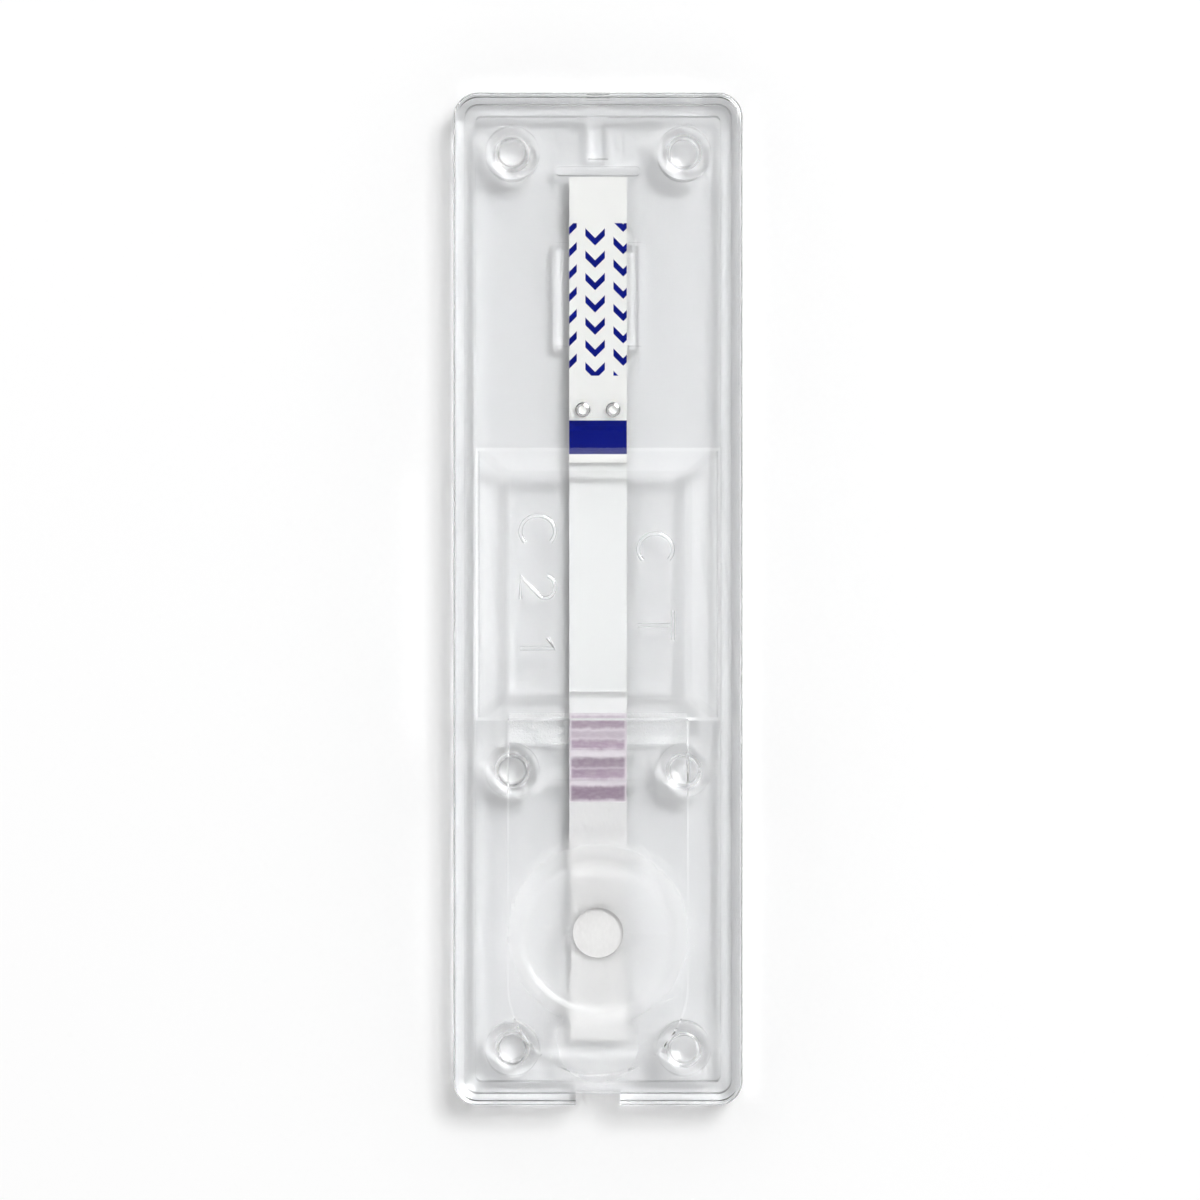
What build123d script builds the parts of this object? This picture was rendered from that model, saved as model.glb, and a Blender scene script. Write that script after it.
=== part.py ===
from build123d import *

import os

# Lateral flow cassette: a clear two-part moulded housing pressed together around a layered test strip.
# It lies on its flat back. X is across the strip, +Y points to the absorbent end, +Z is up.
# The origin is on the table, under the middle of the housing.

# Test strip, cut to one width, with its zones from the absorbent end to the sample end
strip_width = 4.0
absorbent_length = 19.6
exposed_membrane_length = 17.9
exposed_conjugate_length = 5.9
sample_pad_length = 16.6
layer_lap = 2.0
lap_ramp = 0.3

# Strip layers, thickness
card_thickness = 0.25
membrane_thickness = 0.14
conjugate_thickness = 0.35
sample_thickness = 0.5
absorbent_thickness = 0.8
tape_thickness = 0.06

# Housing envelope
housing_width = 20.0
absorbent_end_room = 5.7
sample_end_room = 4.3
corner_radius = 1.7
inner_corner_radius = 0.4
top_edge_round = 0.3
bottom_edge_round = 0.3

# Moulded walls
floor_thickness = 1.0
roof_thickness = 1.0
wall_thickness = 1.5
skirt_thickness = 0.75
tongue_height = 0.9
tongue_headroom = 0.7
strip_standoff = 0.5
roof_room = 1.25

# Fits
wall_clearance = 0.05
parting_gap = 0.03
pin_clearance = 0.03
press_gap = 0.03
guide_clearance = 0.1
strip_end_clearance = 0.15
seat_gap = 0.1

# Read window: a bevelled recess with a closed clear floor
recess_side_land = 1.5
recess_side_run = 2.4
recess_tape_lead = 0.75
recess_pad_lead = 0.2
recess_end_run = 2.0
recess_floor_thickness = 0.9
window_gap = 0.7

# Sample well: a funnel with a drop hole over the sample pad
well_from_end = 7.5
drop_hole_radius = 1.75
dish_radius = 4.8
dish_drop = 1.88
dish_mouth_radius = 5.5
dish_lip_drop = 0.2
drop_rim_width = 0.6
boss_radius = 4.4
boss_root_radius = 6.05
boss_drop = 0.45

# Shallow tongue-shaped panel around the well, in the outer face of the roof
panel_half_width = 6.15
panel_past_well = 3.5
panel_depth = 0.12
panel_side_angle = 45

# Posts that press the halves together
post_side_offset = 2.55
top_post_offset = 2.6
bottom_post_offset = 2.3
middle_post_offset = 3.7
pin_radius = 1.0
socket_wall = 0.85
socket_lead = 0.2
pin_taper = 0.08
pin_taper_length = 0.5
lid_pin_length = 1.1
base_pin_headroom = 0.15
gusset_thickness = 0.6
gusset_height = 0.8

# Features of the lid that press on the strip
nub_radius = 0.5
nub_spacing = 2.1
nub_offset = 3.4
pressure_rib_length = 5.9
pressure_rib_thickness = 0.5
pressure_rib_margin = 1.3
pressure_rib_pitch = 2.1

# Features of the base that carry and guide the strip
rest_thickness = 1.2
rest_end_offset = 2.5
conjugate_bar_length = 12.4
conjugate_bar_thickness = 1.9
stop_bar_length = 5.9
stop_bar_thickness = 0.6
end_rib_length = 2.9
end_rib_thickness = 1.4
rail_width = 0.9
rail_length = 7.2
rail_end_offset = 4.5
rail_rise = 0.6
lower_rail_width = 0.75
lower_rail_length = 4.6
lower_rail_drop = 0.2
stop_block_side = 1.0
stop_block_length = 3.0
stop_block_end = 1.15
stop_block_rise = 0.3
stop_tip_width = 1.0
stop_tip_length = 0.35

# Marks of the mould
notch_width = 3.1
gate_width = 1.6
gate_depth = 0.45
gate_height = 1.1
ejector_radius = 1.18
ejector_depth = 0.08
ejector_end_offset = 2.3
ejector_edge_offset = 6.7
ejector_side_offset = 2.55

# Places along the strip
strip_length = absorbent_length + exposed_membrane_length + exposed_conjugate_length + sample_pad_length
housing_length = strip_length + absorbent_end_room + sample_end_room
absorbent_end = housing_length / 2 - absorbent_end_room
absorbent_edge = absorbent_end - absorbent_length
conjugate_edge = absorbent_edge - exposed_membrane_length
sample_edge = conjugate_edge - exposed_conjugate_length
sample_end = sample_edge - sample_pad_length
window_middle = (absorbent_edge + conjugate_edge) / 2
nub_place = absorbent_edge + nub_offset
rib_places = [sample_edge + pressure_rib_margin + n * pressure_rib_pitch for n in range(2)]
well_place = sample_end + well_from_end

# Heights above the table
strip_level = floor_thickness + strip_standoff
card_top = strip_level + card_thickness
membrane_top = card_top + membrane_thickness
conjugate_top = card_top + conjugate_thickness
sample_top = card_top + sample_thickness
absorbent_top = card_top + absorbent_thickness
tape_lap_top = absorbent_top + membrane_thickness + tape_thickness
roof_underside = tape_lap_top + roof_room
housing_height = roof_underside + roof_thickness
panel_level = housing_height - panel_depth
tongue_top = roof_underside - tongue_headroom
shoulder = tongue_top - tongue_height
window_underside = membrane_top + window_gap
window_top = window_underside + recess_floor_thickness
well_lip = sample_top + press_gap

# Inner room of the housing and the posts in it
inner_half_width = housing_width / 2 - wall_thickness
inner_half_length = housing_length / 2 - wall_thickness
post_side = inner_half_width - post_side_offset
post_places = [
    inner_half_length - top_post_offset,
    conjugate_edge - middle_post_offset,
    bottom_post_offset - inner_half_length,
]
bore_radius = pin_radius + pin_clearance
socket_radius = bore_radius + socket_wall


def housing_slab(inset, bottom, top):
    """Block of the housing's rounded outline, drawn in by inset, between two heights."""
    radius = max(corner_radius - inset, inner_corner_radius)
    outline = RectangleRounded(housing_width - 2 * inset, housing_length - 2 * inset, radius)
    return Pos(0, 0, bottom) * extrude(outline, top - bottom)


def block(x_span, y_span, z_span):
    """Box between low and high ends along each axis."""
    spans = (x_span, y_span, z_span)
    size = [high - low for low, high in spans]
    centre = [(low + high) / 2 for low, high in spans]
    return Pos(*centre) * Box(*size)


def end_notch():
    """Gap in the outer band of both halves at the sample end, where the runner was broken off."""
    outer_end = -housing_length / 2
    depth = skirt_thickness + wall_clearance
    half = notch_width / 2
    return block((-half, half), (outer_end, outer_end + depth), (0, housing_height))


def turned(profile, side, place):
    """Round form about an upright axis, from a half section drawn as radius and height."""
    return Pos(side, place, 0) * revolve(Plane.XZ * make_face(profile), Axis.Z)


def pin(side, place, root, tip):
    """Round post from its root to a tapered tip, up or down."""
    toward_root = 1 if root > tip else -1
    half_section = Polyline(
        (0, root),
        (pin_radius, root),
        (pin_radius, tip + toward_root * pin_taper_length),
        (pin_radius - pin_taper, tip),
        (0, tip),
        close=True,
    )
    return turned(half_section, side, place)


def socket(side, place, root, mouth):
    """Tube that takes a pin, with a countersunk mouth, closed at its root by the wall it stands on."""
    low, high = sorted((root, mouth))
    ring = Circle(socket_radius) - Circle(bore_radius)
    tube = Pos(side, place, low) * extrude(ring, high - low)
    bore_rims = tube.edges().filter_by(GeomType.CIRCLE).group_by(SortBy.RADIUS)[0]
    mouth_rim = bore_rims.sort_by(lambda edge: abs(edge.center().Z - mouth))[0]
    return chamfer(mouth_rim, socket_lead)


def gusset_ends():
    """Span along the strip of the gussets that tie the middle sockets to the side walls."""
    middle = post_places[1]
    return middle - gusset_thickness / 2, middle + gusset_thickness / 2


def lapped_layer(edge, far_end, rise, level, thickness):
    """Strip layer lying at one level that climbs over the next layer for the length of the lap."""
    inward = 1 if far_end > edge else -1
    step = edge + inward * layer_lap
    foot = step + inward * lap_ramp
    under = [(edge, level + rise), (step, level + rise), (foot, level), (far_end, level)]
    over = [(y, z + thickness) for y, z in reversed(under)]
    side_view = make_face(Polyline(*under, *over, close=True))
    return extrude(Plane.YZ * side_view, strip_width / 2, both=True)


def bevelled_recess(top, foot):
    """Tapered block of the read window between two heights."""
    mouth_half = housing_width / 2 - recess_side_land
    mouth_ends = (conjugate_edge - recess_pad_lead, absorbent_edge + recess_tape_lead)
    sections = []
    for level, side_run, end_run in ((foot, recess_side_run, recess_end_run), (top, 0, 0)):
        low = mouth_ends[0] + end_run
        high = mouth_ends[1] - end_run
        outline = Rectangle(2 * (mouth_half - side_run), high - low)
        sections.append(Pos(0, (low + high) / 2, level) * outline)
    return loft(sections, ruled=True)


def well_boss():
    """Outside of the funnel that hangs from the roof and ends in a flat rim over the sample pad."""
    root = (boss_root_radius, roof_underside)
    foot = (boss_radius, roof_underside - boss_drop)
    outside = Polyline(
        root,
        (0, roof_underside),
        (0, well_lip),
        (drop_hole_radius + drop_rim_width, well_lip),
        foot,
    )
    root_round = TangentArc(root, foot, tangent=(-1, 0))
    return turned(outside + root_round, 0, well_place)


def well_dish():
    """Inside of the funnel: rounded mouth, sloping dish and the straight drop hole."""
    dish_level = panel_level - dish_lip_drop
    hole_top = dish_level - dish_drop
    mouth = (dish_mouth_radius, panel_level)
    lip = TangentArc(mouth, (dish_radius, dish_level), tangent=(-1, 0))
    inside = Polyline(
        mouth,
        (0, panel_level),
        (0, well_lip),
        (drop_hole_radius, well_lip),
        (drop_hole_radius, hole_top),
        (dish_radius, dish_level),
    )
    return turned(inside + lip, 0, well_place)


def well_panel():
    """Shallow tongue that runs from the read window round the sample well."""
    centre = well_place - panel_past_well
    start = conjugate_edge + recess_end_run
    straight = Pos(0, (start + centre) / 2) * Rectangle(2 * panel_half_width, start - centre)
    outline = straight + Pos(0, centre) * Circle(panel_half_width)
    return Pos(0, 0, panel_level) * extrude(outline, panel_depth, taper=-panel_side_angle)


def top_housing():
    """Clear lid: roof, skirt, read window, sample well, and posts and ribs under the roof."""
    skirt_foot = shoulder + parting_gap
    lid = housing_slab(0, skirt_foot, housing_height)
    lid = fillet(lid.edges().group_by(Axis.Z)[-1], top_edge_round)
    lid -= housing_slab(skirt_thickness, skirt_foot, roof_underside)
    lid += bevelled_recess(roof_underside, window_underside)
    lid -= bevelled_recess(housing_height, window_top)
    lid += well_boss()
    lid -= well_panel()
    lid -= well_dish()
    for place in post_places:
        lid += socket(-post_side, place, roof_underside, floor_thickness + seat_gap)
        lid += pin(post_side, place, roof_underside, roof_underside - lid_pin_length)
    gusset_span = (wall_clearance - inner_half_width, -post_side - bore_radius)
    gusset_heights = (roof_underside - gusset_height, roof_underside)
    lid += block(gusset_span, gusset_ends(), gusset_heights)
    nub_foot = absorbent_top + tape_thickness + press_gap
    for side in (-nub_spacing / 2, nub_spacing / 2):
        stem = Pos(side, nub_place, nub_foot + nub_radius)
        lid += stem * extrude(Circle(nub_radius), roof_underside - nub_foot - nub_radius)
        lid += stem * Sphere(nub_radius)
    rib_foot = conjugate_top + membrane_thickness + press_gap
    half = pressure_rib_length / 2
    for place in rib_places:
        ends = (place - pressure_rib_thickness / 2, place + pressure_rib_thickness / 2)
        lid += block((-half, half), ends, (rib_foot, roof_underside))
    far_end = housing_length / 2
    gate = block(
        (-gate_width / 2, gate_width / 2),
        (far_end - gate_depth, far_end),
        (skirt_foot, skirt_foot + gate_height),
    )
    return lid - end_notch() - gate


def strip_rests():
    """Low cross bars of the base that hold the strip up off the floor, no wider than the strip."""
    half = strip_width / 2
    places = [absorbent_end - rest_end_offset, nub_place, window_middle, rib_places[0], well_place]
    bars = Part()
    for place in places:
        ends = (place - rest_thickness / 2, place + rest_thickness / 2)
        bars += block((-half, half), ends, (floor_thickness, strip_level))
    wide = conjugate_bar_length / 2
    bar_ends = (conjugate_edge - conjugate_bar_thickness, conjugate_edge)
    return bars + block((-wide, wide), bar_ends, (floor_thickness, strip_level))


def strip_guides():
    """Side rails, stop bar and end rib that keep the strip straight under the lid."""
    gap = strip_width / 2 + guide_clearance
    rail_high = absorbent_end - rail_end_offset
    rails = [
        (rail_width, rail_high - rail_length, rail_high, card_top + rail_rise),
        (lower_rail_width, well_place - lower_rail_length, well_place, well_lip - lower_rail_drop),
    ]
    guides = Part()
    for width, low, high, top in rails:
        for x_span in ((gap, gap + width), (-gap - width, -gap)):
            guides += block(x_span, (low, high), (floor_thickness, top))
    stop_middle = absorbent_end + strip_end_clearance + stop_bar_thickness / 2
    stop_outline = Pos(0, stop_middle) * SlotOverall(stop_bar_length, stop_bar_thickness)
    guides += Pos(0, 0, floor_thickness) * extrude(stop_outline, absorbent_top - floor_thickness)
    half = end_rib_thickness / 2
    rib_ends = (inner_half_length - end_rib_length, inner_half_length)
    return guides + block((-half, half), rib_ends, (floor_thickness, shoulder))


def stop_block():
    """Cradle that holds the sample end of the strip from below, from both sides and from the end.

    A small tip on its outer end marks the middle of the strip.
    """
    gap = strip_width / 2 + guide_clearance
    half = gap + stop_block_side
    pocket_end = sample_end - strip_end_clearance
    low = pocket_end - stop_block_end
    high = low + stop_block_length
    top = card_top + stop_block_rise
    cradle = block((-half, half), (low, high), (floor_thickness, top))
    cradle -= block((-gap, gap), (pocket_end, high), (strip_level, top))
    tip = Polyline(
        (-stop_tip_width / 2, low),
        (stop_tip_width / 2, low),
        (0, low - stop_tip_length),
        close=True,
    )
    return cradle + Pos(0, 0, floor_thickness) * extrude(make_face(tip), top - floor_thickness)


def bottom_housing():
    """Clear base: floor, wall with its tongue, and the posts, rests and guides that stand on it."""
    base = housing_slab(0, 0, shoulder)
    base = fillet(base.edges().group_by(Axis.Z)[0], bottom_edge_round)
    base += housing_slab(skirt_thickness + wall_clearance, shoulder, tongue_top)
    base -= housing_slab(wall_thickness, floor_thickness, tongue_top)
    for side in (-1, 1):
        for place in (absorbent_end - ejector_end_offset, absorbent_edge + ejector_edge_offset):
            mark = Pos(side * (inner_half_width - ejector_side_offset), place, floor_thickness)
            base -= mark * extrude(Circle(ejector_radius), -ejector_depth)
    base += strip_rests() + strip_guides() + stop_block()
    socket_room = extrude(Circle(socket_radius + guide_clearance), roof_underside - floor_thickness)
    for place in post_places:
        base -= Pos(-post_side, place, floor_thickness) * socket_room
        base += pin(-post_side, place, floor_thickness, roof_underside - base_pin_headroom)
        base += socket(post_side, place, floor_thickness, roof_underside - seat_gap)
    gusset_heights = (floor_thickness, floor_thickness + gusset_height)
    base += block((post_side + bore_radius, inner_half_width), gusset_ends(), gusset_heights)
    return base - end_notch()


def backing_card():
    """Stiff plastic card under the whole strip."""
    half = strip_width / 2
    return block((-half, half), (sample_end, absorbent_end), (strip_level, card_top))


def reaction_membrane():
    """Porous membrane on the card, with both ends lapped by the pads."""
    half = strip_width / 2
    ends = (conjugate_edge - layer_lap, absorbent_edge + layer_lap)
    return block((-half, half), ends, (card_top, membrane_top))


def strip_pads():
    """Pads and tape that lap over one another along the strip, by name."""
    conjugate_end = sample_edge - layer_lap
    return {
        "conjugate_pad": lapped_layer(
            conjugate_edge, conjugate_end, membrane_thickness, card_top, conjugate_thickness
        ),
        "sample_pad": lapped_layer(
            sample_edge, sample_end, conjugate_thickness, card_top, sample_thickness
        ),
        "absorbent_pad": lapped_layer(
            absorbent_edge, absorbent_end, membrane_thickness, card_top, absorbent_thickness
        ),
        "cover_tape": lapped_layer(
            absorbent_edge, absorbent_end, membrane_thickness, absorbent_top, tape_thickness
        ),
    }


pieces = {
    "top_housing": top_housing(),
    "bottom_housing": bottom_housing(),
    "backing_card": backing_card(),
    "reaction_membrane": reaction_membrane(),
    **strip_pads(),
}

os.makedirs("parts", exist_ok=True)
for name, piece in pieces.items():
    export_step(piece, f"parts/{name}.step")
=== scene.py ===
import math

import bpy
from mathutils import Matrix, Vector, noise


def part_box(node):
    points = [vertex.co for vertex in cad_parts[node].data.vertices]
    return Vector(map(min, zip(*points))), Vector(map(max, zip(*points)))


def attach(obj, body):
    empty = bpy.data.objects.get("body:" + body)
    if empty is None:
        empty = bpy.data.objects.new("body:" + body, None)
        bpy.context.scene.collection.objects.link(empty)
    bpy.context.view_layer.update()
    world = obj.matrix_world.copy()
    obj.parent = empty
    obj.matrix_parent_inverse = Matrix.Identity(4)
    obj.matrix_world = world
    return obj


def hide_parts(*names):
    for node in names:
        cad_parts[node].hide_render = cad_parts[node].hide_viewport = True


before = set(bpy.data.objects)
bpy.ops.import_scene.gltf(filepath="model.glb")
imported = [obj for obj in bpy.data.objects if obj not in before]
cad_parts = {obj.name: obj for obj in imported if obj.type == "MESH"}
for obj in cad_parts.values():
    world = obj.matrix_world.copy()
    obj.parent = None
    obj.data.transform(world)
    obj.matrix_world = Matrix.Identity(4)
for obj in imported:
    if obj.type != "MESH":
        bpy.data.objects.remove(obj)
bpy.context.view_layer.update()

# Lower half of the housing: a shallow tray of clear crystal polystyrene, injection moulded in one shot.
# Its posts, strip rests and rails grow from the floor, and the upper half presses on them.
# The wide bar under the conjugate pad is spark-eroded in the mould, so its top comes out frosted.

MM = 0.001


def add_node(tree, kind, **settings):
    node = tree.nodes.new(kind)
    for key, value in settings.items():
        setattr(node, key, value)
    return node


def new_finish(name):
    """Principled material with the place of each point on the piece, in metres of the frame."""
    finish = bpy.data.materials.new(name)
    finish.use_nodes = True
    tree = finish.node_tree
    place = add_node(tree, "ShaderNodeTexCoord").outputs["Object"]
    return finish, tree, tree.nodes["Principled BSDF"], place


def calculate(tree, operation, *values):
    """Result of a math node on numbers or on other nodes' outputs."""
    node = add_node(tree, "ShaderNodeMath", operation=operation)
    for socket, value in zip(node.inputs, values):
        if isinstance(value, (int, float)):
            socket.default_value = value
        else:
            tree.links.new(value, socket)
    return node.outputs["Value"]


def grain(tree, place, features_per_mm, detail=3.0, stretch=(1, 1, 1)):
    """Cloudy noise from 0 to 1, drawn out along the axes where stretch is small."""
    spread = add_node(tree, "ShaderNodeMapping")
    spread.inputs["Scale"].default_value = stretch
    tree.links.new(place, spread.inputs["Vector"])
    cloud = add_node(tree, "ShaderNodeTexNoise")
    cloud.inputs["Scale"].default_value = features_per_mm / MM
    cloud.inputs["Detail"].default_value = detail
    tree.links.new(spread.outputs["Vector"], cloud.inputs["Vector"])
    return cloud.outputs["Fac"]


def spread_between(tree, value, low, high):
    span = add_node(tree, "ShaderNodeMapRange")
    span.inputs["To Min"].default_value = low
    span.inputs["To Max"].default_value = high
    tree.links.new(value, span.inputs["Value"])
    return span.outputs["Result"]


def band(tree, value, middle, half_width, blur):
    """1 where a place is within half_width of the middle and 0 outside, with a soft edge."""
    away = calculate(tree, "ABSOLUTE", calculate(tree, "SUBTRACT", value, middle))
    edge = add_node(tree, "ShaderNodeMapRange", interpolation_type="SMOOTHSTEP")
    edge.inputs["From Min"].default_value = half_width - blur / 2
    edge.inputs["From Max"].default_value = half_width + blur / 2
    edge.inputs["To Min"].default_value = 1.0
    edge.inputs["To Max"].default_value = 0.0
    tree.links.new(away, edge.inputs["Value"])
    return edge.outputs["Result"]


def raise_surface(tree, shader, height, depth):
    """Bump of that depth in metres."""
    bump = add_node(tree, "ShaderNodeBump")
    bump.inputs["Distance"].default_value = depth
    tree.links.new(height, bump.inputs["Height"])
    tree.links.new(bump.outputs["Normal"], shader.inputs["Normal"])


def axes_of(tree, place):
    """X, Y and Z of a place."""
    split = add_node(tree, "ShaderNodeSeparateXYZ")
    tree.links.new(place, split.inputs["Vector"])
    return [split.outputs[axis] for axis in "XYZ"]


def near(tree, place, spot, radius, blur):
    """1 within a radius of an upright axis, whose X and Y are in mm, and 0 outside, with a soft edge."""
    flat = add_node(tree, "ShaderNodeVectorMath", operation="MULTIPLY")
    flat.inputs[1].default_value = (1.0, 1.0, 0.0)
    tree.links.new(place, flat.inputs[0])
    reach = add_node(tree, "ShaderNodeVectorMath", operation="DISTANCE")
    reach.inputs[1].default_value = (spot[0] * MM, spot[1] * MM, 0.0)
    tree.links.new(flat.outputs["Vector"], reach.inputs[0])
    return band(tree, reach.outputs["Value"], 0.0, radius, blur)


styrene_tint = (0.995, 0.997, 1.0, 1.0)
styrene_index = 1.59
polish = (0.0, 0.03)
left_posts = [(-5.95, 30.8), (-5.95, -11.8), (-5.95, -30.95)]
sleeve_radius = 1.5 * MM
sleeve_fade = 1.8 * MM
sleeve_haze = 0.27


def clear_styrene(name):
    """Clear plastic, polished apart from the left posts, with its roughness still to be linked.

    Matt sleeves push those posts out of the mould, so they are hazy.
    """
    finish, tree, shader, place = new_finish(name)
    shader.inputs["Base Color"].default_value = styrene_tint
    shader.inputs["Transmission Weight"].default_value = 1.0
    shader.inputs["IOR"].default_value = styrene_index
    roughness = spread_between(tree, grain(tree, place, 1.2, detail=1.0), *polish)
    for post in left_posts:
        on_post = near(tree, place, post, sleeve_radius, sleeve_fade)
        roughness = calculate(tree, "ADD", roughness, calculate(tree, "MULTIPLY", on_post, sleeve_haze))
    return finish, tree, shader, place, roughness


def dress(node, finish):
    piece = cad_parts[node]
    piece.data.materials.clear()
    piece.data.materials.append(finish)


finish, tree, shader, place, roughness = clear_styrene("clear_styrene_base")
x, y, z = axes_of(tree, place)
bar_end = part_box("conjugate_pad")[1].y
bar_width = 1.9 * MM
bar_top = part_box("backing_card")[0].z
on_bar = band(tree, y, bar_end - bar_width / 2, bar_width / 2, 0.1 * MM)
on_bar = calculate(tree, "MULTIPLY", on_bar, band(tree, z, bar_top, 0.03 * MM, 0.02 * MM))
flow_waves = grain(tree, place, 0.25, detail=0.0, stretch=(1.0, 0.35, 1.0))
flow_depth = 0.01 * MM
erosion = grain(tree, place, 9.0, detail=1.0)
pits_per_wave = 6.0
frost = calculate(tree, "MULTIPLY", on_bar, spread_between(tree, erosion, 0.2, 0.6))
tree.links.new(calculate(tree, "ADD", roughness, frost), shader.inputs["Roughness"])
pits = calculate(tree, "MULTIPLY", on_bar, calculate(tree, "MULTIPLY", erosion, pits_per_wave))
raise_surface(tree, shader, calculate(tree, "ADD", flow_waves, pits), flow_depth)
dress("bottom_housing", finish)

# Backing card: a stiff white vinyl sheet, slit with the strip to one width.
# It carries every layer and lies on the cross bars of the lower half.

card, tree, shader, place = new_finish("white_vinyl_card")
shader.inputs["Base Color"].default_value = (0.86, 0.86, 0.85, 1.0)
speckle = grain(tree, place, 8.0, stretch=(1.0, 0.4, 3.0))
tree.links.new(spread_between(tree, speckle, 0.35, 0.5), shader.inputs["Roughness"])
raise_surface(tree, shader, speckle, 0.004 * MM)
dress("backing_card", card)

# Reaction membrane: a cast porous film, chalk white and dead matte.
# It is glued to the card in the middle, with its ends under the pads.


def mixed_colour(tree, factor, first, second):
    mix = add_node(tree, "ShaderNodeMix", data_type="RGBA")
    for socket, value in ((mix.inputs[6], first), (mix.inputs[7], second)):
        if isinstance(value, tuple):
            socket.default_value = (*value, 1.0)
        else:
            tree.links.new(value, socket)
    tree.links.new(factor, mix.inputs[0])
    return mix.outputs[2]


membrane, tree, shader, place = new_finish("cast_membrane")
pores = grain(tree, place, 14.0, detail=4.0)
colour = mixed_colour(tree, pores, (0.92, 0.93, 0.925), (0.97, 0.975, 0.965))
tree.links.new(colour, shader.inputs["Base Color"])
tree.links.new(spread_between(tree, pores, 0.75, 0.95), shader.inputs["Roughness"])
raise_surface(tree, shader, pores, 0.006 * MM)
dress("reaction_membrane", membrane)

# Conjugate pad: a loose glass fibre sheet, sprayed with purple conjugate in lines and dried.
# It lies on the card and laps over the end of the membrane, where it bends up by one layer.
# The liquid in the spray crept along the fibres, so each line has a ragged edge.


def fibre_layer(node, finish, thickness, lap_at_top, depth, bend, pitch=0.07 * MM):
    """Pad in the form of a plain lapped layer, with its skin sunk in by up to depth between the fibres.

    lap_at_top says which end, of the higher or the lower Y, climbs over the next layer.
    bend is the length over which the upper skin climbs with it.
    """
    low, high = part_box(node)
    rise = high.z - low.z - thickness
    lap = 2.0 * MM
    ramp = 0.3 * MM
    half = high.x
    rows = round((high.y - low.y) / pitch)
    columns = round(2 * half / pitch)
    side_levels = [n / 4 for n in range(1, 4)]
    right = [(half, level) for level in side_levels]
    top = [(half - 2 * half * n / columns, 1.0) for n in range(columns + 1)]
    left = [(-half, level) for level in reversed(side_levels)]
    loop = [(-half, 0.0), (half, 0.0), *right, *top, *left]
    points = []
    for row in range(rows + 1):
        along = low.y + (high.y - low.y) * row / rows
        from_lap = high.y - along if lap_at_top else along - low.y
        climb = min(max((lap + ramp - from_lap) / ramp, 0.0), 1.0)
        floor = low.z + rise * climb
        eased = min(max((lap + (ramp + bend) / 2 - from_lap) / bend, 0.0), 1.0)
        roof = low.z + thickness + rise * eased * eased * (3.0 - 2.0 * eased)
        at_end = (row == 0) - (row == rows)
        for side, level in loop:
            lift = floor + level * (roof - floor)
            spot = Vector((side, along, lift)) / MM
            felt = noise.fractal(spot * 2.2, 0.8, 2.1, 4)
            combed = Vector((spot.x * 1.3 + spot.y * 4.0, spot.y * 0.8, spot.z * 4.0))
            fibre = 1.0 - abs(noise.noise(combed))
            sunk = depth * min(max(0.55 - 0.5 * felt - 0.25 * fibre, 0.0), 1.0)
            inward = 0.0 if abs(side) < half or level == 0.0 else math.copysign(sunk, side)
            drop = sunk if level == 1.0 else 0.0
            shift = at_end * sunk if level > 0.0 else 0.0
            points.append((side - inward, along + shift, lift - drop))
    count = len(loop)
    faces = [tuple(reversed(range(count))), tuple(range(rows * count, (rows + 1) * count))]
    for row in range(rows):
        for n in range(count):
            here, beside = row * count + n, row * count + (n + 1) % count
            faces.append((here, beside, beside + count, here + count))
    mesh = bpy.data.meshes.new(f"{node}_fibre")
    mesh.from_pydata(points, [], faces)
    mesh.polygons.foreach_set("use_smooth", [True] * len(faces))
    mesh.set_sharp_from_angle(angle=math.radians(50))
    mesh.materials.append(finish)
    piece = bpy.data.objects.new(f"{node}_fibre", mesh)
    bpy.context.scene.collection.objects.link(piece)
    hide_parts(node)
    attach(piece, "root")


conjugate, tree, shader, place = new_finish("banded_glass_fibre")
x, y, z = axes_of(tree, place)
creep_reach = 0.35 * MM
spray_blur = 0.34 * MM
sprayed_half = 1.86 * MM
spray_lines = [
    (-8.7, 0.3, 0.95),
    (-9.42, 0.26, 0.5),
    (-10.1, 0.32, 1.0),
    (-11.4, 0.35, 0.95),
    (-12.14, 0.37, 1.0),
    (-13.47, 0.5, 1.05),
]
creep = calculate(tree, "SUBTRACT", grain(tree, place, 2.2, detail=4.0, stretch=(1.0, 0.5, 1.0)), 0.5)
ragged = calculate(tree, "ADD", y, calculate(tree, "MULTIPLY", creep, creep_reach))
stain = 0.0
for middle, half_width, strength in spray_lines:
    line = band(tree, ragged, middle * MM, half_width * MM, spray_blur)
    stain = calculate(tree, "MAXIMUM", calculate(tree, "MULTIPLY", line, strength), stain)
fibres = grain(tree, place, 6.0, detail=5.0, stretch=(0.4, 1.0, 1.0))
stain = calculate(tree, "MULTIPLY", stain, spread_between(tree, fibres, 0.55, 1.25))
stain = calculate(tree, "MULTIPLY", stain, band(tree, x, 0.0, sprayed_half, 0.25 * MM))
colour = mixed_colour(tree, stain, (0.84, 0.79, 0.83), (0.42, 0.325, 0.41))
tree.links.new(colour, shader.inputs["Base Color"])
tree.links.new(spread_between(tree, fibres, 0.85, 1.0), shader.inputs["Roughness"])
raise_surface(tree, shader, fibres, 0.03 * MM)
fibre_layer("conjugate_pad", conjugate, 0.35 * MM, True, 0.03 * MM, 0.8 * MM)

# Sample pad: a soft white fibre felt that takes up the drop under the well.
# It laps over the conjugate pad and runs to the sample end in the cradle.

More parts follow.
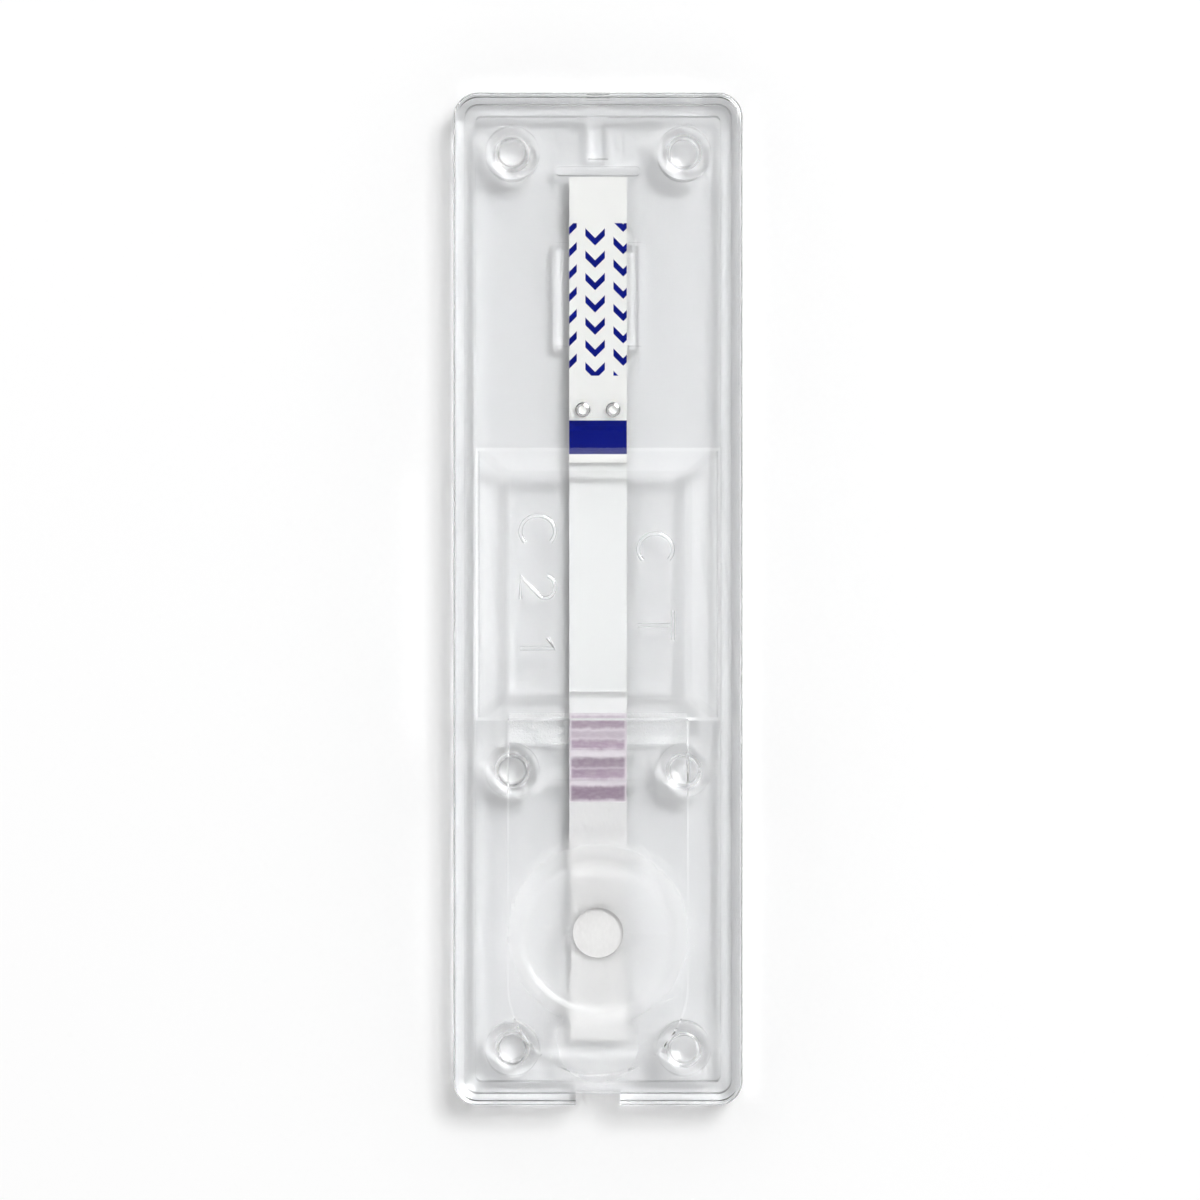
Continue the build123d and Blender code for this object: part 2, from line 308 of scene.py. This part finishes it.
sample, tree, shader, place = new_finish("white_fibre_felt")
fibres = grain(tree, place, 5.0, detail=5.0, stretch=(1.0, 0.5, 1.0))
colour = mixed_colour(tree, fibres, (0.81, 0.805, 0.8), (0.91, 0.905, 0.9))
tree.links.new(colour, shader.inputs["Base Color"])
tree.links.new(spread_between(tree, fibres, 0.85, 1.0), shader.inputs["Roughness"])
raise_surface(tree, shader, fibres, 0.03 * MM)
fibre_layer("sample_pad", sample, 0.5 * MM, True, 0.03 * MM, 1.8 * MM)

# Absorbent pad: thick blotting paper that draws the liquid along the strip.
# It is pressed in plies, whose edges show on the cut sides under the tape.

blotter, tree, shader, place = new_finish("blotting_paper")
plies = add_node(tree, "ShaderNodeTexWave", bands_direction="Z", wave_profile="SIN")
plies.inputs["Scale"].default_value = 1.2 / MM
plies.inputs["Distortion"].default_value = 3.0
plies.inputs["Detail"].default_value = 3.0
plies.inputs["Detail Scale"].default_value = 2.0
tree.links.new(place, plies.inputs["Vector"])
fibres = grain(tree, place, 4.0, detail=5.0, stretch=(1.0, 1.0, 2.5))
pulp = calculate(tree, "MULTIPLY", fibres, spread_between(tree, plies.outputs["Fac"], 0.7, 1.0))
colour = mixed_colour(tree, pulp, (0.82, 0.82, 0.80), (0.94, 0.94, 0.92))
tree.links.new(colour, shader.inputs["Base Color"])
tree.links.new(spread_between(tree, fibres, 0.85, 1.0), shader.inputs["Roughness"])
raise_surface(tree, shader, pulp, 0.03 * MM)
fibre_layer("absorbent_pad", blotter, 0.8 * MM, False, 0.03 * MM, 0.3 * MM)

# Cover tape: a thin white film stuck over the absorbent pad. It is printed navy on the roll and slit
# afterwards, so the rows of chevrons are cut off by the strip's edges. A solid band ends the print,
# and the bare film beyond it is the edge that laps over the membrane.

tape, tree, shader, place = new_finish("printed_film")
shader.inputs["Specular IOR Level"].default_value = 0.04
x, y, z = axes_of(tree, place)
band_ends = (10.3 * MM, 12.4 * MM)
print_ends = (15.5 * MM, 26.1 * MM)
row_pitch = 1.95 * MM
row_offset = 0.2 * MM
row_stagger = 0.6 * MM
chevron_pitch = 1.55 * MM
chevron_reach = 0.68 * MM
stroke_half = 0.19 * MM
from_first_row = calculate(tree, "ADD", x, row_offset + row_pitch / 2)
row_number = calculate(tree, "FLOOR", calculate(tree, "DIVIDE", from_first_row, row_pitch))
row_middle = calculate(tree, "SUBTRACT", calculate(tree, "MULTIPLY", row_number, row_pitch), row_offset)
across = calculate(tree, "ABSOLUTE", calculate(tree, "SUBTRACT", x, row_middle))
along = calculate(tree, "ADD", y, calculate(tree, "MULTIPLY", row_number, row_stagger))
slanted = calculate(tree, "SUBTRACT", along, across)
in_pitch = calculate(tree, "WRAP", slanted, chevron_pitch / 2, -chevron_pitch / 2)
edge_blur = 0.03 * MM
ink = band(tree, in_pitch, 0.0, stroke_half * math.sqrt(2), edge_blur)
ink = calculate(tree, "MULTIPLY", ink, band(tree, across, 0.0, chevron_reach, edge_blur))
in_print = band(tree, y, sum(print_ends) / 2, (print_ends[1] - print_ends[0]) / 2, edge_blur)
in_band = band(tree, y, sum(band_ends) / 2, (band_ends[1] - band_ends[0]) / 2, edge_blur)
ink = calculate(tree, "MAXIMUM", calculate(tree, "MULTIPLY", ink, in_print), in_band)
film = grain(tree, place, 3.0, detail=2.0)
white_film = mixed_colour(tree, film, (0.93, 0.93, 0.905), (0.96, 0.96, 0.935))
colour = mixed_colour(tree, ink, white_film, (0.0003, 0.006, 0.21))
tree.links.new(colour, shader.inputs["Base Color"])
tree.links.new(spread_between(tree, film, 0.38, 0.5), shader.inputs["Roughness"])
raise_surface(tree, shader, film, 0.006 * MM)
dress("cover_tape", tape)

# Upper half of the housing: the clear polystyrene lid, with the bevelled read window and the funnel
# of the sample well. It is pressed on the posts of the lower half.
# The mould is stoned around the funnel and over the strip's end, which come out satin.

finish, tree, shader, place, roughness = clear_styrene("clear_styrene_lid")
well = (0.0, -23.2)
well_radius = 7.0 * MM
strip_end = (0.0, -30.6)
end_radius = 3.6 * MM
stoned_fade = 3.0 * MM
around_well = near(tree, place, well, well_radius, stoned_fade)
over_end = near(tree, place, strip_end, end_radius, stoned_fade)
stoned = calculate(tree, "MAXIMUM", around_well, over_end)
satin = spread_between(tree, grain(tree, place, 2.0, detail=1.0), 0.26, 0.34)
satin = calculate(tree, "MULTIPLY", stoned, satin)
tree.links.new(calculate(tree, "ADD", roughness, satin), shader.inputs["Roughness"])
dress("top_housing", finish)

# Raised marks: the letters that name the control and test lines beside the read window.
# They are engraved in the mould, so they stand up from the window's clear floor as half-round strokes.
# Their tops point to the right, for reading the cassette with the well on the right.


def arc(middle, radius, start, stop, steps=14):
    """Points on an arc between two angles in degrees."""
    turns = [math.radians(start + (stop - start) * n / steps) for n in range(steps + 1)]
    return [(middle[0] + radius[0] * math.cos(t), middle[1] + radius[1] * math.sin(t)) for t in turns]


def ridge(points, half_width, height, foot):
    """Vertices and faces of a half-round ridge along points, with flat ends."""
    steps = 8
    turns = [math.pi * n / steps for n in range(steps + 1)]
    spots = [Vector(point) for point in points]
    vertices, faces = [], []
    for n, spot in enumerate(spots):
        ahead = spots[min(n + 1, len(spots) - 1)] - spots[max(n - 1, 0)]
        across = Vector((ahead.y, -ahead.x)).normalized()
        for turn in turns:
            at = spot + across * half_width * math.cos(turn)
            vertices.append((at.x, at.y, foot + height * math.sin(turn)))
    count = steps + 1
    for n in range(len(spots) - 1):
        for k in range(count):
            here, beside = n * count + k, n * count + (k + 1) % count
            faces.append((here, beside, beside + count, here + count))
    last = (len(spots) - 1) * count
    faces.append(tuple(reversed(range(count))))
    faces.append(tuple(range(last, last + count)))
    return vertices, faces


stroke_half = 0.13 * MM
stroke_height = 0.1 * MM
window_floor = 3.49 * MM
hair_gap = 0.002 * MM
letters = {
    "C": [arc((1.3, 1.33), (1.1, 1.2), 48, 312, 28)],
    "2": [
        arc((0.88, 1.86), (0.78, 0.67), 165, -35, 18)
        + [(0.16, 0.13), (1.72, 0.13)],
    ],
    "1": [[(0.12, 2.02), (0.86, 2.5), (0.86, 0.1)]],
    "T": [[(0.05, 2.53), (2.1, 2.53)], [(1.07, 2.36), (1.07, 0.1)]],
}
left_column = -5.51
right_column = 2.66
marks = [
    ("C", left_column, 5.99),
    ("2", left_column, 1.72),
    ("1", left_column, -2.57),
    ("C", right_column, 4.74),
    ("T", right_column, -0.76),
]
vertices, faces = [], []
for letter, column, start in marks:
    for stroke in letters[letter]:
        path = [((column + up) * MM, (start - over) * MM) for over, up in stroke]
        more, sides = ridge(path, stroke_half, stroke_height, window_floor + hair_gap)
        faces += [tuple(index + len(vertices) for index in side) for side in sides]
        vertices += more
mesh = bpy.data.meshes.new("raised_marks")
mesh.from_pydata(vertices, [], faces)
mesh.polygons.foreach_set("use_smooth", [True] * len(faces))
mesh.set_sharp_from_angle(angle=math.radians(40))
mesh.materials.append(finish)
raised_marks = bpy.data.objects.new("raised_marks", mesh)
bpy.context.scene.collection.objects.link(raised_marks)
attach(raised_marks, "root")

# Table and light: a sheet of plain white card, and white walls that grey upwards and are dark only
# right overhead, where the camera is. One studio lamp up to the right draws the shadows and the bright
# lines in the plastic.

half = 1.5
corners = [(-half, -half, 0), (half, -half, 0), (half, half, 0), (-half, half, 0)]
sheet = bpy.data.meshes.new("table")
sheet.from_pydata(corners, [], [(0, 1, 2, 3)])
table = bpy.data.objects.new("table", sheet)
bpy.context.scene.collection.objects.link(table)
table.location.z = -0.05 * MM
paper, tree, shader, place = new_finish("table_card")
shader.inputs["Base Color"].default_value = (0.965, 0.965, 0.965, 1.0)
shader.inputs["Roughness"].default_value = 0.9
shader.inputs["Specular IOR Level"].default_value = 0.0
sheet.materials.append(paper)

room = bpy.data.worlds.new("room")
room.use_nodes = True
tree = room.node_tree
glow = tree.nodes["Background"]
glow.inputs["Color"].default_value = (1.0, 1.0, 1.0, 1.0)
x, y, z = axes_of(tree, add_node(tree, "ShaderNodeTexCoord").outputs["Generated"])
sides = add_node(tree, "ShaderNodeMapRange")
sides.inputs["From Max"].default_value = 0.8
sides.inputs["To Min"].default_value = 0.97
sides.inputs["To Max"].default_value = 0.57
tree.links.new(z, sides.inputs["Value"])
overhead = add_node(tree, "ShaderNodeMapRange", interpolation_type="SMOOTHSTEP")
overhead.inputs["From Min"].default_value = 0.97
overhead.inputs["From Max"].default_value = 0.99
overhead.inputs["To Min"].default_value = 1.0
overhead.inputs["To Max"].default_value = 0.06
tree.links.new(z, overhead.inputs["Value"])
walls = calculate(tree, "MULTIPLY", sides.outputs["Result"], overhead.outputs["Result"])
tree.links.new(walls, glow.inputs["Strength"])
bpy.context.scene.world = room

lamp = bpy.data.lights.new("soft_box", "AREA")
lamp.shape = "DISK"
lamp.size = 0.3
lamp.energy = 3.7
soft_box = bpy.data.objects.new("soft_box", lamp)
soft_box.location = (0.22, 0.26, 0.84)
soft_box.rotation_euler = (-soft_box.location).to_track_quat("-Z", "Y").to_euler()
bpy.context.scene.collection.objects.link(soft_box)

# Camera: straight above the cassette, with a long lens, so that the walls hardly spread.
# Light that passes the plastic is followed far enough to leave it again.

lens = bpy.data.cameras.new("camera")
distance = 0.4
frame_width = 83.0 * MM
lens.lens = lens.sensor_width * distance / frame_width
camera = bpy.data.objects.new("camera", lens)
camera.location = (0.14 * MM, -0.07 * MM, distance + 4.5 * MM)
bpy.context.scene.collection.objects.link(camera)
bpy.context.scene.camera = camera
bpy.context.scene.view_settings.view_transform = "Standard"
cycles = bpy.context.scene.cycles
cycles.max_bounces = 16
cycles.transmission_bounces = 16
cycles.blur_glossy = 0.0
cycles.sample_clamp_indirect = 0.0
